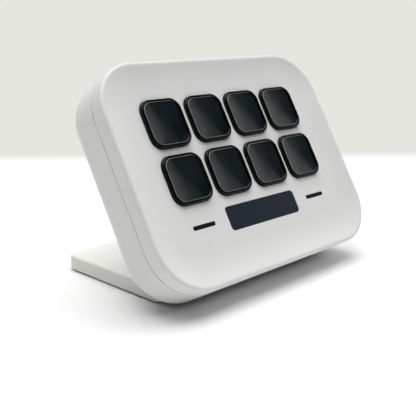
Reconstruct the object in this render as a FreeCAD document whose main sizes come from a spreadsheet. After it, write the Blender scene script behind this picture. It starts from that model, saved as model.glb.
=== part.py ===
"""A small tilted desk pad: eight sprung screen keys, an information bar, two touch points and a stand.

The face frame has u to the right, v up the face and w out of it, and leans back from the desk by the
tilt. Its w is zero on the level field round the keys, which lies lower than the rim: the face is a
shallow dish. The stand, its weight and its rubber pad lie level, and the origin is the middle of the
pad's underside, with +X to the right and the face looking towards -Y.
"""
import FreeCAD, Part

import math
import os
import re

import Sketcher
from FreeCAD import Placement, Rotation, Vector

COLUMNS = 4
ROWS = 2
SAME_PLACE = 1e-4

SIZES = {
    # Housing
    "face_width": 107.0,
    "face_height": 78.8,
    "corner_radius": 17.6,
    "shell_depth": 17.6,
    "front_depth": 3.4,
    "front_edge_radius": 1.0,
    "rear_edge_radius": 5.0,
    "rim_rise": 2.1,
    "rim_width": 1.4,
    "rim_inner_radius": 1.5,
    "slope_run": 11.0,
    "front_wall": 2.0,
    "side_wall": 2.0,
    "rear_wall": 2.0,
    "reveal_gap": 0.3,
    "tongue_height": 1.4,
    "tongue_wall": 0.9,
    "tongue_gap": 0.1,
    "tongue_end_gap": 0.2,
    "tilt": 60.0,
    "desk_gap": 1.5,
    # Keys
    "key_pitch_across": 19.5,
    "key_pitch_up": 19.8,
    "key_field_v": 7.5,
    "key_hole": 17.5,
    "key_hole_radius": 4.4,
    "key_gap": 0.2,
    "key_rise": 1.4,
    "key_edge_radius": 0.5,
    "key_lip_radius": 0.55,
    "key_travel": 1.0,
    "flange_reach": 0.75,
    "flange_thickness": 0.8,
    "stop_gap": 0.1,
    "lens_width": 14.8,
    "lens_corner_radius": 3.2,
    "lens_gap": 0.05,
    "lens_drop": 0.4,
    "lens_thickness": 1.85,
    "lens_ledge": 0.5,
    "dish_radius": 40.0,
    "dish_depth": 1.0,
    "foot_radius": 0.8,
    "foot_reach": 7.3,
    "foot_length": 1.8,
    # Silicone mat, switch board and key screen
    "foot_gap": 0.15,
    "collar_wall": 0.55,
    "press_gap": 0.2,
    "landing_gap": 0.3,
    "mat_thickness": 0.8,
    "board_margin": 1.4,
    "board_corner_radius": 3.0,
    "board_thickness": 1.0,
    "board_gap": 0.2,
    "rail_wall": 1.0,
    "window_width": 14.0,
    "window_corner_radius": 3.0,
    "screen_inset": 0.8,
    "screen_corner_radius": 1.0,
    "screen_thickness": 1.8,
    "tray_wall": 0.6,
    "tray_gap": 0.2,
    "tray_lip_gap": 0.2,
    "ear_width": 6.0,
    "ear_reach": 46.8,
    "ear_corner_radius": 1.5,
    "ear_screw_u": 44.3,
    "ear_drop": 12.0,
    "ear_screw_gap": 10.5,
    # Information bar
    "bar_width": 35.9,
    "bar_height": 8.4,
    "bar_corner_radius": 1.3,
    "bar_v": -18.8,
    "bar_recess": 0.15,
    "bar_gap": 0.1,
    "bar_flange_reach": 0.7,
    "bar_flange_thickness": 0.8,
    "bar_display_inset": 0.4,
    "bar_display_thickness": 2.2,
    # Touch points with their light slots
    "touch_u": 29.3,
    "slot_width": 10.0,
    "slot_height": 1.4,
    "slot_corner_radius": 0.5,
    "slot_recess": 0.15,
    "slot_gap": 0.05,
    "light_flange_reach": 0.8,
    "light_flange_thickness": 1.4,
    "dot_v": -24.0,
    "dot_radius": 0.55,
    "dot_rise": 0.3,
    "touch_pad_radius": 2.2,
    "side_board_width": 15.6,
    "side_board_height": 11.0,
    "side_board_v": -21.7,
    "side_board_corner_radius": 1.0,
    "side_board_thickness": 1.0,
    "peg_radius": 0.9,
    "peg_gap": 0.1,
    "peg_reach": 6.0,
    "peg_v": -24.9,
    "peg_end": 0.5,
    # Main board
    "main_width": 72.0,
    "main_height": 50.0,
    "main_corner_radius": 3.0,
    "main_thickness": 1.2,
    "main_level": 11.2,
    "chip_width": 12.0,
    "chip_height": 1.4,
    "chip_u": -14.0,
    "chip_v": 8.0,
    "chip_corner_radius": 0.4,
    "standoff_inset_across": 4.0,
    "standoff_inset_up": 5.0,
    "standoff_radius": 2.4,
    # Screws
    "small_head_radius": 1.8,
    "small_head_height": 1.0,
    "small_shank_radius": 0.9,
    "small_shank_length": 3.8,
    "case_head_radius": 2.4,
    "case_head_height": 1.7,
    "case_shank_radius": 1.25,
    "case_shank_length": 7.6,
    "case_screw_inset_across": 10.5,
    "case_screw_inset_up": 9.4,
    "case_seat_level": 12.2,
    "case_boss_end": 8.0,
    "stand_head_radius": 2.7,
    "stand_head_height": 1.8,
    "stand_shank_radius": 1.45,
    "stand_shank_length": 5.4,
    "stand_screw_inset": 15.8,
    "stand_screw_low": 16.0,
    "stand_screw_pitch": 22.0,
    "stand_boss_height": 2.6,
    "boss_wall": 1.8,
    "head_gap": 0.3,
    "shank_gap": 0.15,
    "thread_gap": 0.02,
    "thread_end_gap": 0.4,
    "drive_radius": 0.9,
    "drive_depth": 0.6,
    # Cable bush
    "cable_bore": 2.0,
    "bush_wall": 0.9,
    "bush_flange_reach": 1.1,
    "bush_flange_thickness": 1.2,
    "bush_gap": 0.05,
    "bush_v": 20.0,
    # Stand
    "stand_width": 83.6,
    "stand_depth": 56.3,
    "stand_corner_radius": 4.2,
    "base_thickness": 5.0,
    "leg_thickness": 4.0,
    "leg_length": 47.0,
    "bend_inner_radius": 6.0,
    "bend_outer_radius": 3.0,
    "stand_edge_radius": 0.8,
    "pad_proud": 0.8,
    "pad_recess": 0.6,
    "pad_inset": 2.0,
    "pad_front_inset": 6.0,
    "pad_gap": 0.15,
    "weight_thickness": 2.0,
    "weight_inset": 4.0,
    "weight_corner_radius": 2.0,
    "weight_gap": 0.2,
    # Run past a surface by each cut
    "overrun": 0.5,
}

doc = FreeCAD.newDocument("desk_pad")
sizes = doc.addObject("Spreadsheet::Sheet", "sizes")
for line, (alias, size) in enumerate(SIZES.items(), start=1):
    sizes.set(f"A{line}", alias)
    sizes.set(f"B{line}", str(size))
    sizes.setAlias(f"B{line}", alias)
doc.recompute()

# Places that several pieces share, as formulas of the sheet's names
SIN = "sin(tilt * 1 deg)"
COS = "cos(tilt * 1 deg)"
SHELL_DROP = (f"((face_height / 2 - rear_edge_radius) * {SIN}"
              f" + (shell_depth - rear_edge_radius) * {COS} + rear_edge_radius)")
FACE_Z = f"(desk_gap + {SHELL_DROP})"
BASE_FRONT = "(-(stand_depth + pad_front_inset - pad_inset) / 2)"
BASE_BACK = f"({BASE_FRONT} + stand_depth)"
BASE_TOP = "(pad_proud + base_thickness)"
PAD_RADIUS = "(stand_corner_radius - pad_inset)"
LEG_FOOT_V = f"((pad_proud - {FACE_Z} + shell_depth * {COS}) / {SIN})"
FACE_Y = f"({BASE_FRONT} - {LEG_FOOT_V} * {COS} - shell_depth * {SIN})"
KEY_WIDTH = "(key_hole - 2 * key_gap)"
KEY_RADIUS = "(key_hole_radius - key_gap)"
FLANGE_TOP = "(front_wall + stop_gap)"
FLANGE_END = f"({FLANGE_TOP} + flange_thickness)"
COLLAR_TOP = f"({FLANGE_END} + key_travel + press_gap)"
BOARD_TOP = f"({FLANGE_END} + foot_length + key_travel + landing_gap)"
BOARD_WIDTH = f"({COLUMNS - 1} * key_pitch_across + key_hole + 2 * board_margin)"
BOARD_HEIGHT = f"({ROWS - 1} * key_pitch_up + key_hole + 2 * board_margin)"
SCREEN_TOP = f"({BOARD_TOP} + board_thickness)"
SCREEN_WIDTH = f"({BOARD_WIDTH} - 2 * screen_inset)"
SCREEN_HEIGHT = f"({BOARD_HEIGHT} - 2 * screen_inset)"
TRAY_SEAT = f"({SCREEN_TOP} + screen_thickness)"
SIDE_BOARD_TOP = "(front_wall + light_flange_thickness)"
REAR_TOP = "(front_depth + reveal_gap)"
REAR_FLOOR = "(shell_depth - rear_wall)"
CASE_BOSS_RADIUS = "(case_shank_radius + thread_gap + boss_wall)"
CASE_TUBE_RADIUS = "(case_head_radius + head_gap + side_wall / 2)"
SMALL_BOSS_RADIUS = "(small_shank_radius + thread_gap + boss_wall)"
STAND_BOSS_RADIUS = "(stand_shank_radius + thread_gap + boss_wall)"

CORNERS = [(-1, -1), (1, -1), (1, 1), (-1, 1)]
SIDES = {"left": -1, "right": 1}
CASE_SCREWS = [(f"({x} * (face_width / 2 - case_screw_inset_across))",
                f"({y} * (face_height / 2 - case_screw_inset_up))") for x, y in CORNERS]
EAR_ROWS = {"low": "(key_field_v - ear_drop)",
            "high": "(face_height / 2 - case_screw_inset_up - ear_screw_gap)"}
TRAY_SCREWS = [(f"({x} * ear_screw_u)", v) for v in EAR_ROWS.values() for x in (-1, 1)]
MAIN_SCREWS = [(f"({x} * (main_width / 2 - standoff_inset_across))",
                f"({y} * (main_height / 2 - standoff_inset_up))") for x, y in CORNERS]
STAND_SCREWS = [(f"({x} * (stand_width / 2 - stand_screw_inset))",
                 f"({LEG_FOOT_V} + stand_screw_low + {row} * stand_screw_pitch)")
                for x in (-1, 1) for row in (0, 1)]
FEET = [("(-foot_reach)", "foot_reach"), ("foot_reach", "(-foot_reach)")]


def key_places():
    """Label and centre of each key, row by row from the top left."""
    for row in range(ROWS):
        for column in range(COLUMNS):
            across = f"({column - (COLUMNS - 1) / 2} * key_pitch_across)"
            up = f"(key_field_v + {(ROWS - 1) / 2 - row} * key_pitch_up)"
            yield f"{row + 1}{column + 1}", across, up


def bound(formula):
    """The formula with each of the sheet's names written as a reference to the sheet."""
    return re.sub("[a-z_]+", lambda word: f"sizes.{word[0]}" if word[0] in SIZES else word[0], formula)


def number(formula):
    return float(sizes.evalExpression(bound(formula)))


def bind(item, path, formula):
    item.setExpression(path, bound(formula))


def bind_place(item, prefix, x, y, z):
    for letter, formula in zip("xyz", (x, y, z)):
        bind(item, f"{prefix}.Base.{letter}", formula)


def lean(item, prefix):
    """Turn an object about X by the tilt."""
    setattr(item, prefix, Placement(Vector(), Rotation(Vector(1, 0, 0), number("tilt"))))
    bind(item, f"{prefix}.Rotation.Angle", "tilt * 1 deg")


def place_on_face(item, u="0", v="0", w="0"):
    """Put an object's own origin at u, v, w of the face frame."""
    lean(item, "Placement")
    y = f"{FACE_Y} + ({v}) * {COS} - ({w}) * {SIN}"
    z = f"{FACE_Z} + ({v}) * {SIN} + ({w}) * {COS}"
    bind_place(item, "Placement", u, y, z)


def new_body(name):
    body = doc.addObject("PartDesign::Body", name)
    body.Label = name
    return body


def sketch_on(body, name, x="0", y="0", z="0", plane="XY_Plane"):
    sketch = body.newObject("Sketcher::SketchObject", name)
    support = next(item for item in body.Origin.OriginFeatures if item.Role == plane)
    sketch.AttachmentSupport = [(support, "")]
    sketch.MapMode = "FlatFace"
    bind_place(sketch, "AttachmentOffset", x, y, z)
    return sketch


def constrain(sketch, *terms, formula=None):
    """Add a constraint, bound to a formula where it has a size."""
    if formula is not None:
        terms = (*terms, number(formula))
    index = sketch.addConstraint(Sketcher.Constraint(*terms))
    if formula is not None:
        sketch.renameConstraint(index, f"size_{index}")
        bind(sketch, f"Constraints.size_{index}", formula)


def draw_rectangle(sketch, wide, high, radius):
    """A rounded rectangle about the sketch's origin."""
    half_wide = number(wide) / 2
    half_high = number(high) / 2
    round_size = number(radius)
    first = sketch.GeometryCount
    corners = [(1, 1), (-1, 1), (-1, -1), (1, -1)]
    for quarter, (x, y) in enumerate(corners):
        centre = Vector(x * (half_wide - round_size), y * (half_high - round_size), 0)
        circle = Part.Circle(centre, Vector(0, 0, 1), round_size)
        turn = math.pi / 2
        sketch.addGeometry(Part.ArcOfCircle(circle, quarter * turn, (quarter + 1) * turn), False)
    arcs = [sketch.Geometry[first + quarter] for quarter in range(4)]
    for quarter in range(4):
        ends = arcs[quarter].EndPoint, arcs[(quarter + 1) % 4].StartPoint
        sketch.addGeometry(Part.LineSegment(*ends), False)
    for quarter in range(4):
        line = first + 4 + quarter
        constrain(sketch, "Tangent", first + quarter, 2, line, 1)
        constrain(sketch, "Tangent", line, 2, first + (quarter + 1) % 4, 1)
        if quarter:
            constrain(sketch, "Equal", first, first + quarter)
    constrain(sketch, "Horizontal", first + 4)
    constrain(sketch, "Vertical", first + 5)
    constrain(sketch, "Horizontal", first + 6)
    constrain(sketch, "Vertical", first + 7)
    constrain(sketch, "Symmetric", first, 3, first + 2, 3, -1, 1)
    constrain(sketch, "Radius", first, formula=radius)
    constrain(sketch, "DistanceX", first + 1, 2, first, 1, formula=wide)
    constrain(sketch, "DistanceY", first + 3, 1, first, 2, formula=high)


def draw_circle(sketch, radius, x="0", y="0"):
    circle = Part.Circle(Vector(number(x), number(y), 0), Vector(0, 0, 1), number(radius))
    index = sketch.addGeometry(circle, False)
    constrain(sketch, "Radius", index, formula=radius)
    constrain(sketch, "DistanceX", -1, 1, index, 3, formula=x)
    constrain(sketch, "DistanceY", -1, 1, index, 3, formula=y)


def draw_outline(sketch, points):
    """A closed outline of straight lines through points given as pairs of formulas."""
    places = [Vector(number(x), number(y), 0) for x, y in points]
    count = len(points)
    for index in range(count):
        sketch.addGeometry(Part.LineSegment(places[index], places[(index + 1) % count]), False)
    for index, (x, y) in enumerate(points):
        constrain(sketch, "Coincident", index, 2, (index + 1) % count, 1)
        constrain(sketch, "DistanceX", -1, 1, index, 1, formula=x)
        constrain(sketch, "DistanceY", -1, 1, index, 1, formula=y)


def extrude(body, kind, sketch, length, up):
    """Pad or pocket a sketch, upwards or downwards from its plane."""
    feature = body.newObject(f"PartDesign::{kind}", f"{sketch.Name}_{kind.lower()}")
    feature.Profile = sketch
    bind(feature, "Length", length)
    feature.Reversed = up if kind == "Pocket" else not up
    sketch.Visibility = False
    return feature


def slab(body, name, wide, high, radius, top, thick, u="0", v="0", kind="Pad"):
    """A rounded rectangle from a depth below the face frame's origin, down by its thickness."""
    sketch = sketch_on(body, name, u, v, f"-{top}")
    draw_rectangle(sketch, wide, high, radius)
    return extrude(body, kind, sketch, thick, up=False)


def pocket(body, name, wide, high, radius, top, thick, u="0", v="0"):
    return slab(body, name, wide, high, radius, top, thick, u, v, kind="Pocket")


def studs(body, name, radius, places, top, length, kind="Pad"):
    """Round studs or holes at several places, from a depth down by their length."""
    sketch = sketch_on(body, name, z=f"-{top}")
    for u, v in places:
        draw_circle(sketch, radius, u, v)
    return extrude(body, kind, sketch, length, up=False)


def holes(body, name, radius, places, top, length):
    return studs(body, name, radius, places, top, length, kind="Pocket")


def edges_of(feature, chosen):
    doc.recompute()
    names = [f"Edge{index}" for index, edge in enumerate(feature.Shape.Edges, start=1) if chosen(edge)]
    return (feature, names)


def level_edges(feature, z, within=None):
    """Edges that lie in a level plane of the body, and within a rectangle where one is given."""
    level = number(z)
    reach = [number(size) / 2 + SAME_PLACE for size in within] if within else (math.inf, math.inf)

    def chosen(edge):
        box = edge.BoundBox
        flat = abs(box.ZMin - level) < SAME_PLACE and abs(box.ZMax - level) < SAME_PLACE
        return flat and max(-box.XMin, box.XMax) < reach[0] and max(-box.YMin, box.YMax) < reach[1]

    return edges_of(feature, chosen)


def round_edges(body, edges, radius):
    fillet = body.newObject("PartDesign::Fillet", f"{edges[0].Name}_round")
    fillet.Base = edges
    bind(fillet, "Radius", radius)
    return fillet


def revolve(body, name, points):
    """Turn an outline of radius and height about the body's Z axis."""
    sketch = sketch_on(body, name, plane="XZ_Plane")
    draw_outline(sketch, points)
    feature = body.newObject("PartDesign::Revolution", f"{name}_revolution")
    feature.Profile = sketch
    feature.ReferenceAxis = (sketch, ["V_Axis"])
    sketch.Visibility = False
    return feature


def outline_size(inset):
    """Width, height and corner radius of the housing's outline, drawn in by an inset."""
    return f"(face_width - 2 * {inset})", f"(face_height - 2 * {inset})", f"(corner_radius - {inset})"


def front_shell():
    body = new_body("front_shell")
    place_on_face(body)
    block = slab(body, "front_block", *outline_size("0"), "(-rim_rise)", "(rim_rise + front_depth)")
    round_edges(body, level_edges(block, "rim_rise"), "front_edge_radius")
    dished_face(body)
    pocket(body, "front_hollow", *outline_size("side_wall"), "front_wall", "front_depth")
    rebate_top = "(front_depth + reveal_gap - tongue_height - tongue_end_gap)"
    pocket(body, "front_rebate", *outline_size("(side_wall - tongue_wall - tongue_gap)"), rebate_top,
           "front_depth")
    field_rail(body)
    through = "(-rim_rise - overrun)", "(rim_rise + front_wall + 2 * overrun)"
    for label, u, v in key_places():
        pocket(body, f"key_hole_{label}", "key_hole", "key_hole", "key_hole_radius", *through, u, v)
    bar_hole = "(bar_width + 2 * bar_gap)", "(bar_height + 2 * bar_gap)", "(bar_corner_radius + bar_gap)"
    pocket(body, "bar_hole", *bar_hole, *through, v="bar_v")
    for side, sign in SIDES.items():
        pocket(body, f"slot_hole_{side}", "(slot_width + 2 * slot_gap)", "(slot_height + 2 * slot_gap)",
               "(slot_corner_radius + slot_gap)", *through, f"({sign} * touch_u)", "bar_v")
    bosses_inside_front(body)
    for side, sign in SIDES.items():
        raised_dot(body, side, sign)
    return body


def dished_face(body):
    """Sink the face below its rim, with a curved slope that runs round a level field."""
    crest = "(face_width / 2 - rim_width)"
    flat_run = "((corner_radius - rim_width - slope_run) / 2)"
    path = sketch_on(body, "slope_path", z="rim_rise")
    draw_rectangle(path, *outline_size("rim_width"))
    profile = sketch_on(body, "slope_profile", z="(corner_radius - face_height / 2)", plane="XZ_Plane")
    draw_slope(profile, crest, f"({crest} - slope_run)", f"({crest} - slope_run - {flat_run})")
    slope = body.newObject("PartDesign::SubtractivePipe", "slope")
    slope.Profile = profile
    slope.Spine = path
    path.Visibility = profile.Visibility = False
    level = outline_size(f"(rim_width + slope_run + {flat_run} / 2)")
    field = pocket(body, "field", *level, "(-rim_rise - overrun)", "(rim_rise + overrun)")
    round_edges(body, level_edges(field, "rim_rise", outline_size("rim_width")[:2]), "rim_inner_radius")


def draw_slope(sketch, crest, foot, end):
    """The region above a concave arc that climbs from a level foot to the crest."""
    rise = number("rim_rise")
    top = number("rim_rise + overrun")
    run = number(crest) - number(foot)
    radius = (run ** 2 + rise ** 2) / (2 * rise)
    down = -math.pi / 2
    circle = Part.Circle(Vector(number(foot), radius, 0), Vector(0, 0, 1), radius)
    sketch.addGeometry(Part.ArcOfCircle(circle, down, down + math.asin(run / radius)), False)
    corners = [(crest, rise), (crest, top), (end, top), (end, 0), (foot, 0)]
    corners = [Vector(number(x), y, 0) for x, y in corners]
    for start, finish in zip(corners, corners[1:]):
        sketch.addGeometry(Part.LineSegment(start, finish), False)
    for line in range(4):
        constrain(sketch, "Coincident", line, 2, line + 1, 1)
        constrain(sketch, ("Vertical", "Horizontal")[line % 2], line + 1)
    constrain(sketch, "Tangent", 4, 2, 0, 1)
    constrain(sketch, "DistanceX", -1, 1, 0, 1, formula=foot)
    constrain(sketch, "DistanceY", -1, 1, 0, 1, formula="0")
    constrain(sketch, "DistanceX", -1, 1, 0, 2, formula=crest)
    constrain(sketch, "DistanceY", -1, 1, 0, 2, formula="rim_rise")
    constrain(sketch, "DistanceY", -1, 1, 2, 1, formula="(rim_rise + overrun)")
    constrain(sketch, "DistanceX", -1, 1, 3, 1, formula=end)


def raised_dot(body, side, sign):
    """A low dome that marks a touch point."""
    ball_radius = "((dot_radius ^ 2 + dot_rise ^ 2) / (2 * dot_rise))"
    ball = body.newObject("PartDesign::AdditiveSphere", f"dot_{side}")
    bind(ball, "Radius", ball_radius)
    bind_place(ball, "Placement", f"({sign} * touch_u)", "dot_v", f"(dot_rise - {ball_radius})")


def field_rail(body):
    """The rail inside the front that goes round the switch board."""
    sketch = sketch_on(body, "rail", y="key_field_v", z="-front_wall")
    for grow, radius in (("board_gap + rail_wall", "rail_wall"), ("board_gap", "0")):
        draw_rectangle(sketch, f"({BOARD_WIDTH} + 2 * ({grow}))", f"({BOARD_HEIGHT} + 2 * ({grow}))",
                       f"(board_corner_radius + board_gap + {radius})")
    extrude(body, "Pad", sketch, f"({SCREEN_TOP} - front_wall)", up=False)


def bosses_inside_front(body):
    """Screw bosses and stakes that stand on the inside of the front wall."""
    root = "(front_wall / 2)"
    case_length = f"(case_boss_end - {root})"
    studs(body, "case_bosses", CASE_BOSS_RADIUS, CASE_SCREWS, root, case_length)
    studs(body, "tray_bosses", SMALL_BOSS_RADIUS, TRAY_SCREWS, root, f"({TRAY_SEAT} - {root})")
    pegs = [(f"({sign} * touch_u + {end} * peg_reach)", "peg_v")
            for sign in SIDES.values() for end in (-1, 1)]
    studs(body, "pegs", "peg_radius", pegs, root,
          f"({SIDE_BOARD_TOP} + side_board_thickness + peg_end - {root})")
    case_thread = "(case_shank_length - (case_seat_level - case_boss_end) + thread_end_gap)"
    holes(body, "case_pilots", "(case_shank_radius + thread_gap)", CASE_SCREWS,
          f"(case_boss_end - {case_thread})", f"({case_thread} + overrun)")
    tray_thread = "(small_shank_length - tray_wall + thread_end_gap)"
    holes(body, "tray_pilots", "(small_shank_radius + thread_gap)", TRAY_SCREWS,
          f"({TRAY_SEAT} - {tray_thread})", f"({tray_thread} + overrun)")


def rear_shell():
    body = new_body("rear_shell")
    place_on_face(body)
    block = slab(body, "rear_block", *outline_size("0"), REAR_TOP, f"(shell_depth - {REAR_TOP})")
    round_edges(body, level_edges(block, "(-shell_depth)"), "rear_edge_radius")
    slab(body, "tongue", *outline_size("(side_wall - tongue_wall)"), f"({REAR_TOP} - tongue_height)",
         "(tongue_height + side_wall)")
    hollow_top = f"({REAR_TOP} - tongue_height - overrun)"
    hollow = pocket(body, "rear_hollow", *outline_size("side_wall"), hollow_top,
                    f"({REAR_FLOOR} - {hollow_top})")
    round_edges(body, level_edges(hollow, f"(-{REAR_FLOOR})"), "(rear_edge_radius - rear_wall)")
    root = f"({REAR_FLOOR} + rear_wall / 2)"
    studs(body, "case_tubes", CASE_TUBE_RADIUS, CASE_SCREWS, "case_boss_end", f"({root} - case_boss_end)")
    main_seat = "(main_level + main_thickness)"
    studs(body, "standoffs", "standoff_radius", MAIN_SCREWS, main_seat, f"({root} - {main_seat})")
    studs(body, "stand_bosses", STAND_BOSS_RADIUS, STAND_SCREWS, f"({REAR_FLOOR} - stand_boss_height)",
          f"(stand_boss_height + {root} - {REAR_FLOOR})")
    holes(body, "head_recesses", "(case_head_radius + head_gap)", CASE_SCREWS, "case_seat_level",
          "(shell_depth - case_seat_level + overrun)")
    holes(body, "shank_holes", "(case_shank_radius + shank_gap)", CASE_SCREWS, "(case_boss_end - overrun)",
          "(case_seat_level - case_boss_end + 2 * overrun)")
    main_thread = "(small_shank_length - main_thickness + thread_end_gap)"
    holes(body, "standoff_pilots", "(small_shank_radius + thread_gap)", MAIN_SCREWS,
          f"({main_seat} - overrun)", f"({main_thread} + overrun)")
    stand_thread = "(stand_shank_length - (leg_thickness - stand_head_height - head_gap) + thread_end_gap)"
    holes(body, "stand_pilots", "(stand_shank_radius + thread_gap)", STAND_SCREWS,
          f"(shell_depth - {stand_thread})", f"({stand_thread} + overrun)")
    holes(body, "bush_hole", "(cable_bore + bush_wall + bush_gap)", [("0", "bush_v")],
          f"({REAR_FLOOR} - overrun)", "(rear_wall + 2 * overrun)")
    return body


def key_cap(label, u, v):
    """A black collar with a retaining flange and two guide feet, sprung up against the front."""
    body = new_body(f"key_cap_{label}")
    place_on_face(body, u, v)
    collar = slab(body, f"collar_{label}", KEY_WIDTH, KEY_WIDTH, KEY_RADIUS, "(-key_rise)",
                  f"(key_rise + {FLANGE_END})")
    round_edges(body, level_edges(collar, "key_rise"), "key_edge_radius")
    flange = f"({KEY_WIDTH} + 2 * flange_reach)"
    slab(body, f"flange_{label}", flange, flange, f"({KEY_RADIUS} + flange_reach)", FLANGE_TOP,
         "flange_thickness")
    opening = "(lens_width + 2 * lens_gap)"
    lens_seat = "(lens_thickness + lens_drop - key_rise)"
    well = pocket(body, f"well_{label}", opening, opening, "(lens_corner_radius + lens_gap)",
                  "(-key_rise - overrun)", f"(key_rise + overrun + {lens_seat})")
    round_edges(body, level_edges(well, "key_rise", (f"({opening} + lens_gap)", f"({opening} + lens_gap)")),
                "key_lip_radius")
    light = "(lens_width - 2 * lens_ledge)"
    pocket(body, f"light_well_{label}", light, light, "(lens_corner_radius - lens_ledge)",
           f"({lens_seat} - overrun)", f"({FLANGE_END} - {lens_seat} + 2 * overrun)")
    studs(body, f"feet_{label}", "foot_radius", FEET, FLANGE_TOP, "(flange_thickness + foot_length)")
    return body


def key_lens(label, u, v):
    """The dished clear window that sits in a key's collar."""
    body = new_body(f"key_lens_{label}")
    place_on_face(body, u, v)
    slab(body, f"lens_{label}", "lens_width", "lens_width", "lens_corner_radius", "(lens_drop - key_rise)",
         "lens_thickness")
    ball = body.newObject("PartDesign::SubtractiveSphere", f"dish_{label}")
    bind(ball, "Radius", "dish_radius")
    bind(ball, "Placement.Base.z", "dish_radius - dish_depth + key_rise - lens_drop")
    return body


def key_mat():
    """Silicone mat on the switch board, with a window and two guide collars under each key."""
    body = new_body("key_mat")
    place_on_face(body)
    mat_top = f"({BOARD_TOP} - mat_thickness)"
    slab(body, "mat", BOARD_WIDTH, BOARD_HEIGHT, "board_corner_radius", mat_top, "mat_thickness",
         v="key_field_v")
    places = [(f"({u} + {x})", f"({v} + {y})") for label, u, v in key_places() for x, y in FEET]
    bore = "(foot_radius + foot_gap)"
    studs(body, "collars", f"({bore} + collar_wall)", places, COLLAR_TOP, f"({BOARD_TOP} - {COLLAR_TOP})")
    for label, u, v in key_places():
        pocket(body, f"mat_window_{label}", "window_width", "window_width", "window_corner_radius",
               f"({mat_top} - overrun)", "(mat_thickness + 2 * overrun)", u, v)
    holes(body, "collar_bores", bore, places, f"({COLLAR_TOP} - overrun)",
          f"({BOARD_TOP} - {COLLAR_TOP} + 2 * overrun)")
    return body


def switch_board():
    """The board that carries the key contacts, open under each key."""
    body = new_body("switch_board")
    place_on_face(body)
    slab(body, "switch_plate", BOARD_WIDTH, BOARD_HEIGHT, "board_corner_radius", BOARD_TOP,
         "board_thickness", v="key_field_v")
    for label, u, v in key_places():
        pocket(body, f"board_window_{label}", "window_width", "window_width", "window_corner_radius",
               f"({BOARD_TOP} - overrun)", "(board_thickness + 2 * overrun)", u, v)
    return body


def key_screen():
    body = new_body("key_screen")
    place_on_face(body)
    slab(body, "screen", SCREEN_WIDTH, SCREEN_HEIGHT, "screen_corner_radius", SCREEN_TOP,
         "screen_thickness", v="key_field_v")
    return body


def screen_tray():
    """The bent tray behind the key screen, with four ears that screw to the front."""
    body = new_body("screen_tray")
    place_on_face(body)
    wide = f"({SCREEN_WIDTH} + 2 * tray_gap)"
    high = f"({SCREEN_HEIGHT} + 2 * tray_gap)"
    radius = "(screen_corner_radius + tray_gap)"
    outer = f"({wide} + 2 * tray_wall)", f"({high} + 2 * tray_wall)", f"({radius} + tray_wall)"
    lip_top = f"({SCREEN_TOP} + tray_lip_gap)"
    slab(body, "tray", *outer, lip_top, f"({TRAY_SEAT} + tray_wall - {lip_top})", v="key_field_v")
    for row, v in EAR_ROWS.items():
        slab(body, f"ears_{row}", "(2 * ear_reach)", "ear_width", "ear_corner_radius", TRAY_SEAT,
             "tray_wall", v=v)
    pocket(body, "tray_hollow", wide, high, radius, f"({lip_top} - overrun)",
           f"({TRAY_SEAT} - {lip_top} + overrun)", v="key_field_v")
    holes(body, "ear_holes", "(small_shank_radius + shank_gap)", TRAY_SCREWS, f"({TRAY_SEAT} - overrun)",
          "(tray_wall + 2 * overrun)")
    return body


def flanged_window(name, wide, high, radius, recess, reach, thick, u="0"):
    """An insert that fills an opening of the front and is held by a flange behind the wall."""
    body = new_body(name)
    place_on_face(body, u, "bar_v")
    slab(body, f"{name}_insert", wide, high, radius, recess, f"(front_wall - {recess} + {thick} / 2)")
    flange = f"({wide} + 2 * {reach})", f"({high} + 2 * {reach})"
    slab(body, f"{name}_flange", *flange, radius, "front_wall", thick)
    return body


def bar_display():
    body = new_body("bar_display")
    place_on_face(body, v="bar_v")
    slab(body, "display", "(bar_width + 2 * (bar_flange_reach - bar_display_inset))",
         "(bar_height + 2 * (bar_flange_reach - bar_display_inset))", "bar_corner_radius",
         "(front_wall + bar_flange_thickness)", "bar_display_thickness")
    return body


def side_board(side, sign):
    """The small board behind a light slot and its touch point, held on two stakes."""
    body = new_body(f"side_board_{side}")
    place_on_face(body, f"({sign} * touch_u)")
    slab(body, f"side_plate_{side}", "side_board_width", "side_board_height", "side_board_corner_radius",
         SIDE_BOARD_TOP, "side_board_thickness", v="side_board_v")
    stakes = [("(-peg_reach)", "peg_v"), ("peg_reach", "peg_v")]
    holes(body, f"stake_holes_{side}", "(peg_radius + peg_gap)", stakes, f"({SIDE_BOARD_TOP} - overrun)",
          "(side_board_thickness + 2 * overrun)")
    return body


def touch_pad(side, sign):
    """The soft contact between a touch point's wall and its board."""
    body = new_body(f"touch_pad_{side}")
    place_on_face(body, f"({sign} * touch_u)", "dot_v")
    studs(body, f"touch_{side}", "touch_pad_radius", [("0", "0")], "front_wall", "light_flange_thickness")
    return body


def main_board():
    body = new_body("main_board")
    place_on_face(body)
    slab(body, "main_plate", "main_width", "main_height", "main_corner_radius", "main_level",
         "main_thickness")
    holes(body, "main_holes", "(small_shank_radius + shank_gap)", MAIN_SCREWS, "(main_level - overrun)",
          "(main_thickness + 2 * overrun)")
    return body


def controller_chip():
    body = new_body("controller_chip")
    place_on_face(body)
    slab(body, "chip", "chip_width", "chip_width", "chip_corner_radius", "(main_level - chip_height)",
         "chip_height", "chip_u", "chip_v")
    return body


def cable_bush():
    """A soft bush with a flange on each side of the rear wall."""
    body = new_body("cable_bush")
    place_on_face(body, v="bush_v")
    neck = "(cable_bore + bush_wall)"
    flange = f"({neck} + bush_flange_reach)"
    outside = "(-shell_depth - bush_flange_thickness)"
    inside = f"(-{REAR_FLOOR} + bush_flange_thickness)"
    revolve(body, "bush", [
        ("cable_bore", outside), (flange, outside), (flange, "(-shell_depth)"), (neck, "(-shell_depth)"),
        (neck, f"(-{REAR_FLOOR})"), (flange, f"(-{REAR_FLOOR})"), (flange, inside), ("cable_bore", inside)])
    return body


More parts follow.
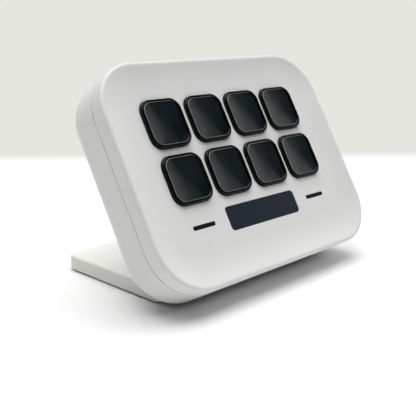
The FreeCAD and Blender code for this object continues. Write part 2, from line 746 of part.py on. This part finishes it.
def screw(name, head_radius, head_height, shank_radius, shank_length):
    """A pan screw that points up its own Z axis, its head's seat at zero."""
    body = new_body(name)
    revolve(body, f"{name}_profile", [
        ("0", f"(-{head_height})"), (head_radius, f"(-{head_height})"), (head_radius, "0"),
        (shank_radius, "0"), (shank_radius, f"({shank_length} - {shank_radius} / 2)"),
        (f"({shank_radius} / 2)", shank_length), ("0", shank_length)])
    sketch = sketch_on(body, f"{name}_drive", z=f"-{head_height} + drive_depth")
    draw_hexagon(sketch, "drive_radius")
    extrude(body, "Pocket", sketch, "(drive_depth + overrun)", up=False)
    return body


def draw_hexagon(sketch, radius):
    half_height = f"({radius} * sqrt(3) / 2)"
    draw_outline(sketch, [
        (radius, "0"), (f"({radius} / 2)", half_height), (f"(-{radius} / 2)", half_height),
        (f"(-{radius})", "0"), (f"(-{radius} / 2)", f"(-{half_height})"),
        (f"({radius} / 2)", f"(-{half_height})")])


def screw_set(name, source, groups):
    """One node of identical screws: each group has its places, its seat's level and its direction."""
    links = []
    for places, level, down in groups:
        for u, v in places:
            link = doc.addObject("App::Link", f"{name}_{len(links) + 1}")
            link.LinkedObject = source
            if down:
                link.Placement = Placement(Vector(), Rotation(Vector(1, 0, 0), 180))
            bind_place(link, "Placement", u, v, f"(-{level})")
            links.append(link)
    node = doc.addObject("Part::Compound", name)
    node.Label = name
    node.Links = links
    place_on_face(node)
    return node


def screws():
    small = screw("small_screw", "small_head_radius", "small_head_height", "small_shank_radius",
                  "small_shank_length")
    case = screw("case_screw", "case_head_radius", "case_head_height", "case_shank_radius",
                 "case_shank_length")
    stand_one = screw("stand_screw", "stand_head_radius", "stand_head_height", "stand_shank_radius",
                      "stand_shank_length")
    stand_seat = "(shell_depth + leg_thickness - stand_head_height - head_gap)"
    return [
        screw_set("small_screws", small, [(TRAY_SCREWS, f"({TRAY_SEAT} + tray_wall)", False),
                                          (MAIN_SCREWS, "main_level", True)]),
        screw_set("case_screws", case, [(CASE_SCREWS, "case_seat_level", False)]),
        screw_set("stand_screws", stand_one, [(STAND_SCREWS, stand_seat, False)]),
    ]


def stand():
    """A bent plate: the leg lies on the rear shell and the base runs back along the desk."""
    body = new_body("stand")
    lean_run = f"({COS} / {SIN})"
    foot = (BASE_FRONT, "pad_proud")
    back_low = (BASE_BACK, "pad_proud")
    back_high = (BASE_BACK, BASE_TOP)
    bend = (f"({BASE_FRONT} + base_thickness * {lean_run} + leg_thickness / {SIN})", BASE_TOP)
    top_front = (f"({BASE_FRONT} + leg_length * {COS})", f"(pad_proud + leg_length * {SIN})")
    top_back = (f"({top_front[0]} + leg_thickness * {SIN})", f"({top_front[1]} - leg_thickness * {COS})")
    sketch = sketch_on(body, "stand_profile", z="(-stand_width / 2)", plane="YZ_Plane")
    draw_outline(sketch, [foot, back_low, back_high, bend, top_back, top_front])
    plate = extrude(body, "Pad", sketch, "stand_width", up=True)
    low_corners = edges_of(plate, crosswise(back_low, back_high))
    corners = round_edges(body, low_corners, "stand_corner_radius")
    high_corners = edges_of(corners, crosswise(top_front, top_back))
    corners = round_edges(body, high_corners, "stand_corner_radius")
    bent = round_edges(body, edges_of(corners, along_x_at(bend)), "bend_inner_radius")
    bent = round_edges(body, edges_of(bent, along_x_at(foot)), "bend_outer_radius")
    round_edges(body, edges_of(bent, upper_rim), "stand_edge_radius")
    level_pocket(body, "pad_recess_outline", "0", PAD_RADIUS, "pad_proud", "pad_recess")
    level_pocket(body, "weight_recess", "(weight_inset - weight_gap)", "(weight_corner_radius + weight_gap)",
                 "(pad_proud + pad_recess)", "weight_thickness")
    leg_holes(body)
    return body


def level_outline(inset):
    """Width and depth of the pad's recess, drawn in by an inset."""
    wide = f"(stand_width - 2 * pad_inset - 2 * {inset})"
    return wide, f"(stand_depth - pad_inset - pad_front_inset - 2 * {inset})"


def level_pocket(body, name, inset, radius, bottom, depth):
    sketch = sketch_on(body, name, z=f"({bottom} - overrun)")
    draw_rectangle(sketch, *level_outline(inset), radius)
    extrude(body, "Pocket", sketch, f"({depth} + overrun)", up=True)


def crosswise(low, high):
    """Picks the two edges between a pair of profile points, at the sides of the stand."""
    places = [(number(y), number(z)) for y, z in (low, high)]

    def chosen(edge):
        ends = [(vertex.Y, vertex.Z) for vertex in edge.Vertexes]
        met = [any(math.dist(end, place) < SAME_PLACE for end in ends) for place in places]
        return len(ends) == 2 and all(met)

    return chosen


def along_x_at(point):
    """Picks the edge that runs across the stand through a profile point."""
    place = number(point[0]), number(point[1])

    def chosen(edge):
        return all(math.dist((vertex.Y, vertex.Z), place) < SAME_PLACE for vertex in edge.Vertexes)

    return chosen


def upper_rim(edge):
    """Picks the upper rim of the base's back half."""
    box = edge.BoundBox
    level = number(BASE_TOP)
    return abs(box.ZMin - level) < SAME_PLACE and abs(box.ZMax - level) < SAME_PLACE and box.YMax > 0


def leg_holes(body):
    """Counterbored holes square to the leg."""
    for name, radius, depth in (("leg_shanks", "(stand_shank_radius + shank_gap)", "0"),
                                ("leg_heads", "(stand_head_radius + head_gap)",
                                 "(leg_thickness - stand_head_height - head_gap)")):
        sketch = sketch_on(body, name)
        lean(sketch, "AttachmentOffset")
        y = f"{FACE_Y} + (shell_depth + {depth}) * {SIN}"
        z = f"{FACE_Z} - (shell_depth + {depth}) * {COS}"
        bind_place(sketch, "AttachmentOffset", "0", y, z)
        for place in STAND_SCREWS:
            draw_circle(sketch, radius, *place)
        extrude(body, "Pocket", sketch, f"(leg_thickness - {depth} + overrun)", up=False)


def base_weight():
    body = new_body("base_weight")
    sketch = sketch_on(body, "weight", z="(pad_proud + pad_recess)")
    draw_rectangle(sketch, *level_outline("weight_inset"), "weight_corner_radius")
    extrude(body, "Pad", sketch, "weight_thickness", up=True)
    return body


def rubber_pad():
    body = new_body("rubber_pad")
    sketch = sketch_on(body, "pad")
    draw_rectangle(sketch, *level_outline("pad_gap"), f"({PAD_RADIUS} - pad_gap)")
    extrude(body, "Pad", sketch, "(pad_proud + pad_recess)", up=True)
    return body


def build():
    pieces = [front_shell(), rear_shell()]
    for label, u, v in key_places():
        pieces += [key_cap(label, u, v), key_lens(label, u, v)]
    pieces += [key_mat(), switch_board(), key_screen(), screen_tray()]
    pieces.append(flanged_window("bar_window", "bar_width", "bar_height", "bar_corner_radius", "bar_recess",
                                 "bar_flange_reach", "bar_flange_thickness"))
    pieces.append(bar_display())
    for side, sign in SIDES.items():
        pieces.append(flanged_window(f"light_bar_{side}", "slot_width", "slot_height", "slot_corner_radius",
                                     "slot_recess", "light_flange_reach", "light_flange_thickness",
                                     f"({sign} * touch_u)"))
        pieces += [side_board(side, sign), touch_pad(side, sign)]
    pieces += [main_board(), controller_chip(), cable_bush(), stand(), base_weight(), rubber_pad()]
    pieces += screws()
    doc.recompute()
    return pieces


def check(pieces):
    """Stop where any object failed to build or any piece is not a valid solid."""
    failed = [item.Name for item in doc.Objects if {"Invalid", "Error"} & set(item.State)]
    if failed:
        raise RuntimeError(f"failed objects: {failed}")
    for piece in pieces:
        shape = piece.Shape
        if shape.isNull() or not shape.isValid() or not shape.Solids:
            raise RuntimeError(f"no valid solid: {piece.Label}")


def export(pieces):
    os.makedirs("parts", exist_ok=True)
    for piece in pieces:
        piece.Shape.exportStep(f"parts/{piece.Label}.step")
        print(piece.Label, len(piece.Shape.Solids), "solids", round(piece.Shape.Volume, 1), "mm3")


made = build()
check(made)
export(made)
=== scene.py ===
"""Finishes, fine key trims, floor, light and camera of the tilted desk pad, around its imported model.

Lengths are in metres unless a comment says otherwise.
"""

import math

import bpy
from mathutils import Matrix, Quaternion, Vector


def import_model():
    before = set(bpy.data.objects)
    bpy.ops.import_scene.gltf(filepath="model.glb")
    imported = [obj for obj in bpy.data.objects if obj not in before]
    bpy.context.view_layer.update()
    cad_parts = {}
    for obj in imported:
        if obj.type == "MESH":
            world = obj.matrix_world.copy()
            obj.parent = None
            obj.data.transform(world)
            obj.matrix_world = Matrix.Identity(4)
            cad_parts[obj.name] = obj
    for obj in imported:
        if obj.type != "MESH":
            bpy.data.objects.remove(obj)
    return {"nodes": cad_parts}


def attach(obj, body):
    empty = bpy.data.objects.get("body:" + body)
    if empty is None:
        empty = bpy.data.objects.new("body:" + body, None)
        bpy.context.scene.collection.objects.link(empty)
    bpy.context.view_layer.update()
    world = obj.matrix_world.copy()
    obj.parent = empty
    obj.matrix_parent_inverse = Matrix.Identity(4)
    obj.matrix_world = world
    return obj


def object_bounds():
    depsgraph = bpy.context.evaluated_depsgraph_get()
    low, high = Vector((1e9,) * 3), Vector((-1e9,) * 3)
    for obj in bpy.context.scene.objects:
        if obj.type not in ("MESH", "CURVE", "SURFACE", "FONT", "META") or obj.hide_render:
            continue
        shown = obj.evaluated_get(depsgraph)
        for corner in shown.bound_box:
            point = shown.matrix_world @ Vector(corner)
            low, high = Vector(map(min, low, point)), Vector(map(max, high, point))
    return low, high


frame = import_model()
cad_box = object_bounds()
nodes = frame["nodes"]

MM = 0.001

# The middle of the level key field, and the face's directions up and outward
FACE_CENTRE = Vector((0, -0.0263484, 0.0425913))
FACE_TILT = math.radians(60.0)
FACE_UP = Vector((0, math.cos(FACE_TILT), math.sin(FACE_TILT)))
FACE_OUT = Vector((0, -math.sin(FACE_TILT), math.cos(FACE_TILT)))

# The keys on the face, in millimetres: their pitch across and up, and how high their middle lies
KEY_ROWS, KEY_COLUMNS = (1, 2), (1, 2, 3, 4)
MIDDLE_ROW, MIDDLE_COLUMN = 1.5, 2.5
KEY_PITCH_ACROSS, KEY_PITCH_UP = 19.5, 19.8
KEY_FIELD_UP = 7.5

# The closed rings around a key's window, in millimetres: half size and level of each corner of the section.
# The corner radius is given at one half size and follows the others
TRIM_FOOT = 0.5
TRIM_HALF, TRIM_CORNER = 7.82, 3.62
CORNER_STEPS = 10
COLLAR_BEVEL = [(7.82, TRIM_FOOT), (7.82, 1.372), (7.60, 1.26), (7.60, TRIM_FOOT)]
# The pale ring at the window's edge, whose grey colour is a painted highlight
WINDOW_EDGE = [(7.60, TRIM_FOOT), (7.60, 1.25), (7.46, 1.38), (7.46, TRIM_FOOT)]
WINDOW_LIP = [(7.46, TRIM_FOOT), (7.46, 1.38), (7.34, 1.36), (7.30, 1.20), (7.30, TRIM_FOOT)]

# The dished window face, in millimetres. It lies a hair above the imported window, whose facets meet in a dark
# speck, and ends inside it
DISH_RADIUS, DISH_LOW = 40.0, 0.0
WINDOW_HALF, WINDOW_CORNER = 7.33, 3.13
WINDOW_LIFT, WINDOW_FOOT = 0.012, 0.3
WINDOW_RINGS = 8
WINDOW_SHARP = math.radians(30)

# Where the bar window's painted reflection, lighter over its left part, begins to fade and where it is gone,
# along X
BAR_PAINTED_REFLECTION_FADE, BAR_PAINTED_REFLECTION_GONE = 0.015, 0.032

# Camera, fitted to the edges of the keys, the bar and the light slots
CAMERA_PLACE = Vector((-0.182836, -0.190974, 0.088786))
CAMERA_FORWARD = Vector((0.68436, 0.68475, -0.25054))
CAMERA_ROLL = math.radians(-0.457)
CAMERA_LENS = 60.92
SENSOR_WIDTH = 36.0

# The floor ends in a soft line behind the object, where the wall's colour begins
FLOOR_END = 0.485
FLOOR_FADE = 0.022
FLOOR_REACH = 3.0
FLOOR_BLOTCH = 0.3

# The part of the noise's range that a finish spreads over
NOISE_LOW, NOISE_HIGH = 0.3, 0.7

# Colours, linear
WALL = (0.783, 0.791, 0.730)
FLOOR_LOW, FLOOR_HIGH = (0.94, 0.94, 0.94), (0.96, 0.96, 0.96)
WHITE_SHELL = (0.80, 0.80, 0.79)
WHITE_STAND = (0.83, 0.83, 0.785)


class Finish:
    """A material whose nodes are added one by one."""

    def __init__(self, name):
        self.material = bpy.data.materials.new(name)
        self.material.use_nodes = True
        self.tree = self.material.node_tree
        self.shader = self.tree.nodes["Principled BSDF"]

    def node(self, kind, **settings):
        made = self.tree.nodes.new(f"ShaderNode{kind}")
        for name, value in settings.items():
            setattr(made, name, value)
        return made

    def link(self, source, target):
        self.tree.links.new(source, target)

    def places(self, stretch=(1, 1, 1)):
        """The row's coordinates, stretched where a pattern runs one way."""
        mapping = self.node("Mapping")
        mapping.inputs["Scale"].default_value = stretch
        self.link(self.node("TexCoord").outputs["Object"], mapping.inputs["Vector"])
        return mapping.outputs["Vector"]

    def noise(self, size, detail=2.0, stretch=(1, 1, 1)):
        """Noise whose blotches are about as wide as the size."""
        noise = self.node("TexNoise")
        noise.inputs["Scale"].default_value = 1 / size
        noise.inputs["Detail"].default_value = detail
        self.link(self.places(stretch), noise.inputs["Vector"])
        return noise.outputs["Fac"]

    def colour(self, value, low, high, start=NOISE_LOW, end=NOISE_HIGH):
        """Base colour between two colours by a value."""
        ramp = self.node("ValToRGB")
        ramp.color_ramp.elements[0].position = start
        ramp.color_ramp.elements[0].color = (*low, 1)
        ramp.color_ramp.elements[1].position = end
        ramp.color_ramp.elements[1].color = (*high, 1)
        self.link(value, ramp.inputs["Fac"])
        self.link(ramp.outputs["Color"], self.shader.inputs["Base Color"])

    def spread(self, value, socket, low, high):
        """A shader socket between two numbers by a value."""
        reach = self.node("MapRange")
        reach.inputs["From Min"].default_value = NOISE_LOW
        reach.inputs["From Max"].default_value = NOISE_HIGH
        reach.inputs["To Min"].default_value = low
        reach.inputs["To Max"].default_value = high
        self.link(value, reach.inputs["Value"])
        self.link(reach.outputs["Result"], self.shader.inputs[socket])

    def bump(self, value, height):
        """Fine relief by a value."""
        bump = self.node("Bump")
        bump.inputs["Distance"].default_value = height
        bump.inputs["Strength"].default_value = 1.0
        self.link(value, bump.inputs["Height"])
        self.link(bump.outputs["Normal"], self.shader.inputs["Normal"])

    def set(self, **sockets):
        """Shader sockets by name, with spaces as underscores."""
        for name, value in sockets.items():
            self.shader.inputs[name.replace("_", " ")].default_value = value


def link_object(name, data):
    """A new object in the scene."""
    made = bpy.data.objects.new(name, data)
    bpy.context.scene.collection.objects.link(made)
    return made


def shade(colour, factor):
    """A colour made darker or lighter by a factor."""
    return tuple(channel * factor for channel in colour)


def moulded(name, colour, roughness, grain=0.25 * MM, depth=0.004 * MM):
    """Moulded plastic with a fine spark texture and a slow drift of tone."""
    finish = Finish(name)
    finish.colour(finish.noise(18 * MM, 3.0), shade(colour, 0.985), colour)
    fine = finish.noise(grain, 3.0)
    finish.spread(fine, "Roughness", roughness - 0.05, roughness + 0.05)
    finish.bump(fine, depth)
    finish.set(IOR=1.49)
    return finish


def shell_finish():
    """Moulded white of both shells."""
    return moulded("white_moulded_shell", WHITE_SHELL, 0.42)


def stand_finish():
    """Fine paint of the bent stand."""
    return moulded("white_painted_stand", WHITE_STAND, 0.48, grain=0.18 * MM, depth=0.006 * MM)


def key_finish():
    """Black gloss of the key collars, with a trace of polishing haze."""
    finish = Finish("gloss_black_key")
    finish.colour(finish.noise(4 * MM), (0.0006, 0.0012, 0.0014), (0.0014, 0.0022, 0.0026))
    finish.spread(finish.noise(0.6 * MM, 3.0), "Roughness", 0.09, 0.14)
    finish.set(Specular_IOR_Level=0.13)
    return finish


def lens_finish():
    """Smoked clear window over the dark screen."""
    finish = Finish("smoked_key_lens")
    finish.colour(finish.noise(9 * MM), (0.0016, 0.0052, 0.0072), (0.0026, 0.0078, 0.0100))
    finish.spread(finish.noise(5 * MM, 2.0), "Roughness", 0.10, 0.15)
    finish.set(Specular_IOR_Level=0.4)
    return finish


def painted_highlight_edge_finish():
    """Pale grey ring at the edge of the clear window, its colour a painted highlight along the edge."""
    finish = Finish("pale_window_edge_painted_highlight")
    # The pale grey is a painted highlight on the window's edge
    finish.colour(finish.noise(3 * MM), (0.25, 0.28, 0.27), (0.32, 0.36, 0.35))
    finish.spread(finish.noise(0.5 * MM), "Roughness", 0.4, 0.5)
    return finish


def bar_finish():
    """Smoked window with a painted reflection: lighter over its left part, fading to dark over its right end.
    """
    finish = Finish("smoked_bar_window_painted_reflection")
    along = finish.node("SeparateXYZ")
    finish.link(finish.places(), along.inputs["Vector"])
    reach = finish.node("MapRange", interpolation_type="SMOOTHSTEP")
    reach.inputs["From Min"].default_value = BAR_PAINTED_REFLECTION_GONE
    reach.inputs["From Max"].default_value = BAR_PAINTED_REFLECTION_FADE
    finish.link(along.outputs["X"], reach.inputs["Value"])
    # The lighter colour is a painted reflection, which fades out towards the right end
    finish.colour(reach.outputs["Result"], (0.001, 0.002, 0.006), (0.0150, 0.0225, 0.0335), 0.0, 1.0)
    finish.spread(finish.noise(2 * MM, 2.0), "Roughness", 0.16, 0.22)
    finish.set(Specular_IOR_Level=0.2)
    return finish


def light_bar_finish():
    """Smoked light guide, almost without gloss."""
    finish = Finish("smoked_light_bar")
    finish.colour(finish.noise(2 * MM), (0.008, 0.011, 0.013), (0.012, 0.015, 0.017))
    finish.spread(finish.noise(0.5 * MM), "Roughness", 0.4, 0.5)
    finish.set(Specular_IOR_Level=0.04)
    return finish


def rubber_finish():
    """Rough rubber of the pad under the base."""
    finish = Finish("black_rubber")
    finish.colour(finish.noise(1.5 * MM, 4.0), (0.010, 0.010, 0.012), (0.022, 0.022, 0.024))
    fine = finish.noise(0.3 * MM, 4.0)
    finish.spread(fine, "Roughness", 0.72, 0.88)
    finish.bump(fine, 0.03 * MM)
    return finish


def bush_finish():
    """Soft black of the cable bush."""
    finish = Finish("soft_black_bush")
    finish.colour(finish.noise(1.2 * MM, 3.0), (0.014, 0.014, 0.015), (0.026, 0.026, 0.027))
    fine = finish.noise(0.2 * MM, 3.0)
    finish.spread(fine, "Roughness", 0.55, 0.7)
    finish.bump(fine, 0.015 * MM)
    return finish


def silicone_finish():
    """Matt grey silicone of the key mat."""
    finish = Finish("grey_silicone")
    finish.colour(finish.noise(3 * MM, 3.0), (0.30, 0.31, 0.32), (0.38, 0.39, 0.40))
    fine = finish.noise(0.3 * MM, 3.0)
    finish.spread(fine, "Roughness", 0.5, 0.62)
    finish.bump(fine, 0.01 * MM)
    return finish


def board_finish():
    """Green solder mask with fine copper tracks under it."""
    finish = Finish("circuit_board")
    bricks = finish.node("TexBrick")
    bricks.inputs["Scale"].default_value = 1 / (12 * MM)
    bricks.inputs["Mortar Size"].default_value = 0.02
    bricks.inputs["Color1"].default_value = (0.008, 0.075, 0.030, 1)
    bricks.inputs["Color2"].default_value = (0.010, 0.090, 0.036, 1)
    bricks.inputs["Mortar"].default_value = (0.035, 0.16, 0.055, 1)
    finish.link(finish.places(), bricks.inputs["Vector"])
    finish.link(bricks.outputs["Color"], finish.shader.inputs["Base Color"])
    finish.spread(finish.noise(0.8 * MM, 3.0), "Roughness", 0.28, 0.4)
    finish.bump(bricks.outputs["Fac"], 0.02 * MM)
    return finish


def steel_finish(name, colour, roughness, stretch=(1, 12, 12)):
    """Steel with fine lines from rolling or turning."""
    finish = Finish(name)
    lines = finish.noise(0.4 * MM, 4.0, stretch)
    finish.colour(lines, shade(colour, 0.88), colour)
    finish.spread(lines, "Roughness", roughness, roughness + 0.14)
    finish.bump(lines, 0.004 * MM)
    finish.set(Metallic=1.0)
    return finish


def screen_finish():
    """Dark glass of the screens."""
    finish = Finish("dark_screen")
    finish.colour(finish.noise(6 * MM), (0.006, 0.007, 0.010), (0.010, 0.012, 0.016))
    finish.spread(finish.noise(2 * MM), "Roughness", 0.18, 0.26)
    return finish


def chip_finish():
    """Matt moulded body of the chip."""
    finish = Finish("epoxy_chip")
    finish.colour(finish.noise(0.5 * MM, 3.0), (0.016, 0.016, 0.017), (0.028, 0.028, 0.030))
    fine = finish.noise(0.12 * MM, 3.0)
    finish.spread(fine, "Roughness", 0.6, 0.75)
    finish.bump(fine, 0.01 * MM)
    return finish


FINISHES = {
    "shell": shell_finish(),
    "stand_paint": stand_finish(),
    "soft_black": bush_finish(),
    "silicone": silicone_finish(),
    "circuit_board": board_finish(),
    "screen_glass": screen_finish(),
    "bar_glass": bar_finish(),
    "light_bar": light_bar_finish(),
    "steel": steel_finish("rolled_steel", (0.50, 0.50, 0.51), 0.34),
    "chip": chip_finish(),
    "rubber": rubber_finish(),
    "screw_steel": steel_finish("turned_screw_steel", (0.34, 0.34, 0.35), 0.3, (1, 1, 1)),
    "key_black": key_finish(),
    "key_lens": lens_finish(),
}
TRIM_FINISHES = {
    "collar_bevel": FINISHES["key_black"],
    "window_edge": painted_highlight_edge_finish(),
    "window_lip": FINISHES["key_black"],
    "window_face": FINISHES["key_lens"],
}


def dress_nodes():
    """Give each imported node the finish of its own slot."""
    for item in nodes.values():
        for slot in item.material_slots:
            slot.material = FINISHES[slot.material.name.split(".")[0]].material


def rounded_square(half, radius):
    """Points of a rounded square, corner by corner."""
    points = []
    for corner, (x, y) in enumerate([(1, 1), (-1, 1), (-1, -1), (1, -1)]):
        for step in range(CORNER_STEPS + 1):
            angle = (corner + step / CORNER_STEPS) * math.pi / 2
            points.append((x * (half - radius) + radius * math.cos(angle),
                           y * (half - radius) + radius * math.sin(angle)))
    return points


def ring_faces(first, second, count):
    """Faces between two rings of corners, given by the number of each ring's first corner."""
    faces = []
    for step in range(count):
        beside = (step + 1) % count
        faces.append((first + step, first + beside, second + beside, second + step))
    return faces


def key_point(row, column, x, y, level):
    """The place of a point that is given from a key's middle, in millimetres."""
    across = (column - MIDDLE_COLUMN) * KEY_PITCH_ACROSS + x
    high = KEY_FIELD_UP + (MIDDLE_ROW - row) * KEY_PITCH_UP + y
    return FACE_CENTRE + (Vector((across, 0, 0)) + FACE_UP * high + FACE_OUT * level) * MM


def key_piece(name, corners, faces, row, column):
    """A piece that rides on one key."""
    mesh = bpy.data.meshes.new(f"{name}_{row}{column}")
    mesh.from_pydata(corners, [], faces)
    made = link_object(mesh.name, mesh)
    mesh.materials.append(TRIM_FINISHES[name].material)
    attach(made, f"key_{row}{column}")
    return mesh


def key_ring(name, section, row, column):
    """A closed ring around one key's window."""
    corners = []
    for half, level in section:
        radius = TRIM_CORNER - (TRIM_HALF - half)
        corners += [key_point(row, column, x, y, level) for x, y in rounded_square(half, radius)]
    count = len(corners) // len(section)
    faces = []
    for ring in range(len(section)):
        after = (ring + 1) % len(section)
        faces += ring_faces(ring * count, after * count, count)
    key_piece(name, corners, faces, row, column)


def key_window(name, row, column):
    """A closed window piece: its dished face, and walls that meet in one point below."""
    corners = [key_point(row, column, 0, 0, DISH_LOW + WINDOW_LIFT)]
    for ring in range(1, WINDOW_RINGS + 1):
        half = WINDOW_HALF * ring / WINDOW_RINGS
        for x, y in rounded_square(half, half * WINDOW_CORNER / WINDOW_HALF):
            level = DISH_LOW + DISH_RADIUS - math.sqrt(DISH_RADIUS ** 2 - x ** 2 - y ** 2)
            corners.append(key_point(row, column, x, y, level + WINDOW_LIFT))
    count = (len(corners) - 1) // WINDOW_RINGS
    for x, y in rounded_square(WINDOW_HALF, WINDOW_CORNER):
        corners.append(key_point(row, column, x, y, DISH_LOW))
    corners.append(key_point(row, column, 0, 0, DISH_LOW - WINDOW_FOOT))

    faces = [(0, 1 + step, 1 + (step + 1) % count) for step in range(count)]
    for ring in range(WINDOW_RINGS - 1):
        faces += ring_faces(1 + (ring + 1) * count, 1 + ring * count, count)
    rim, lower = 1 + (WINDOW_RINGS - 1) * count, 1 + WINDOW_RINGS * count
    faces += ring_faces(lower, rim, count)
    faces += [(lower + count, lower + (step + 1) % count, lower + step) for step in range(count)]
    mesh = key_piece(name, corners, faces, row, column)
    mesh.shade_smooth()
    mesh.set_sharp_from_angle(angle=WINDOW_SHARP)


def key_trims():
    """Collar bevel, pale window edge with its painted highlight, window lip and window face of each key."""
    for row in KEY_ROWS:
        for column in KEY_COLUMNS:
            key_ring("collar_bevel", COLLAR_BEVEL, row, column)
            # This ring's pale colour is a painted highlight
            key_ring("window_edge", WINDOW_EDGE, row, column)
            key_ring("window_lip", WINDOW_LIP, row, column)
            key_window("window_face", row, column)


def camera():
    """The camera at the photograph's angle."""
    data = bpy.data.cameras.new("photo_camera")
    data.lens = CAMERA_LENS
    data.sensor_width = SENSOR_WIDTH
    made = link_object("photo_camera", data)
    made.location = CAMERA_PLACE
    made.rotation_mode = "QUATERNION"
    made.rotation_quaternion = CAMERA_FORWARD.to_track_quat("-Z", "Y") @ Quaternion((0, 0, 1), CAMERA_ROLL)
    bpy.context.scene.camera = made


def floor():
    """A pale floor that fades out in a soft line behind the object."""
    level = cad_box[0].z
    ahead = Vector((CAMERA_FORWARD.x, CAMERA_FORWARD.y, 0)).normalized()
    aside = Vector((ahead.y, -ahead.x, 0))
    start = Vector((CAMERA_PLACE.x, CAMERA_PLACE.y, level))
    far = start + ahead * (FLOOR_END + FLOOR_FADE)
    near = start - ahead * FLOOR_REACH
    corners = [near - aside * FLOOR_REACH, near + aside * FLOOR_REACH,
               far + aside * FLOOR_REACH, far - aside * FLOOR_REACH]
    mesh = bpy.data.meshes.new("pale_floor")
    mesh.from_pydata(corners, [], [(0, 1, 2, 3)])
    made = link_object("pale_floor", mesh)
    finish = Finish("pale_floor")
    finish.colour(finish.noise(FLOOR_BLOTCH), FLOOR_LOW, FLOOR_HIGH)
    finish.set(Roughness=0.9)
    across = finish.node("VectorMath", operation="DOT_PRODUCT")
    across.inputs[1].default_value = ahead
    finish.link(finish.places(), across.inputs[0])
    fade = finish.node("MapRange", interpolation_type="SMOOTHSTEP")
    edge = (start + ahead * FLOOR_END).dot(ahead)
    fade.inputs["From Min"].default_value = edge - FLOOR_FADE
    fade.inputs["From Max"].default_value = edge + FLOOR_FADE
    fade.inputs["To Min"].default_value = 1
    fade.inputs["To Max"].default_value = 0
    finish.link(across.outputs["Value"], fade.inputs["Value"])
    finish.link(fade.outputs["Result"], finish.shader.inputs["Alpha"])
    mesh.materials.append(finish.material)


# Name, place, aim, width, height, watts
LAMPS = [
    ("overhead", (0, 0.02, 1.0), (0, 0, 0.03), 1.1, 1.1, 14.4),
]


def lamps():
    """The soft area lamp above the object."""
    for name, place, aim, width, height, watts in LAMPS:
        data = bpy.data.lights.new(name, "AREA")
        data.shape = "RECTANGLE"
        data.size = width
        data.size_y = height
        data.energy = watts
        made = link_object(name, data)
        made.location = place
        made.rotation_mode = "QUATERNION"
        made.rotation_quaternion = (Vector(aim) - Vector(place)).to_track_quat("-Z", "Y")


# Soft light from the pale wall ahead of the camera and from the room on its right:
# share of aside, share of ahead, where it starts and is full along that direction, colour
GLOWS = [
    (0.0, 1.0, 0.02, 0.42, (0.690, 0.700, 0.680)),
    (1.0, 0.0, 0.30, 0.80, (0.170, 0.177, 0.184)),
]
GLOW_TOP = 0.80
GLOW_TOP_FADE = 0.25


def world():
    """The wall's colour where the camera looks. Other rays meet the soft glows."""
    made = bpy.data.worlds.new("studio")
    made.use_nodes = True
    bpy.context.scene.world = made
    tree = made.node_tree
    ahead = Vector((CAMERA_FORWARD.x, CAMERA_FORWARD.y, 0)).normalized()
    aside = Vector((ahead.y, -ahead.x, 0))

    def node(kind):
        return tree.nodes.new(f"ShaderNode{kind}")

    def fade(value, low, high):
        reach = node("MapRange")
        reach.interpolation_type = "SMOOTHSTEP"
        reach.inputs["From Min"].default_value = low
        reach.inputs["From Max"].default_value = high
        tree.links.new(value, reach.inputs["Value"])
        return reach.outputs["Result"]

    direction = node("TexCoord").outputs["Generated"]
    apart = node("SeparateXYZ")
    tree.links.new(direction, apart.inputs["Vector"])
    below = fade(apart.outputs["Z"], GLOW_TOP, GLOW_TOP - GLOW_TOP_FADE)
    glow = tree.nodes["Background"]
    glow.inputs["Strength"].default_value = 0
    for right, forward, low, full, colour in GLOWS:
        facing = node("VectorMath")
        facing.operation = "DOT_PRODUCT"
        facing.inputs[1].default_value = aside * right + ahead * forward
        tree.links.new(direction, facing.inputs[0])
        both = node("Math")
        both.operation = "MULTIPLY"
        tree.links.new(fade(facing.outputs["Value"], low, full), both.inputs[0])
        tree.links.new(below, both.inputs[1])
        part = node("Background")
        part.inputs["Color"].default_value = (*colour, 1)
        tree.links.new(both.outputs["Value"], part.inputs["Strength"])
        total = node("AddShader")
        tree.links.new(glow.outputs[0], total.inputs[0])
        tree.links.new(part.outputs["Background"], total.inputs[1])
        glow = total
    wall = node("Background")
    wall.inputs["Color"].default_value = (*WALL, 1)
    mix = node("MixShader")
    tree.links.new(node("LightPath").outputs["Is Camera Ray"], mix.inputs["Fac"])
    tree.links.new(glow.outputs[0], mix.inputs[1])
    tree.links.new(wall.outputs["Background"], mix.inputs[2])
    tree.links.new(mix.outputs["Shader"], tree.nodes["World Output"].inputs["Surface"])


dress_nodes()
key_trims()
camera()
floor()
lamps()
world()
bpy.context.scene.view_settings.view_transform = "Standard"
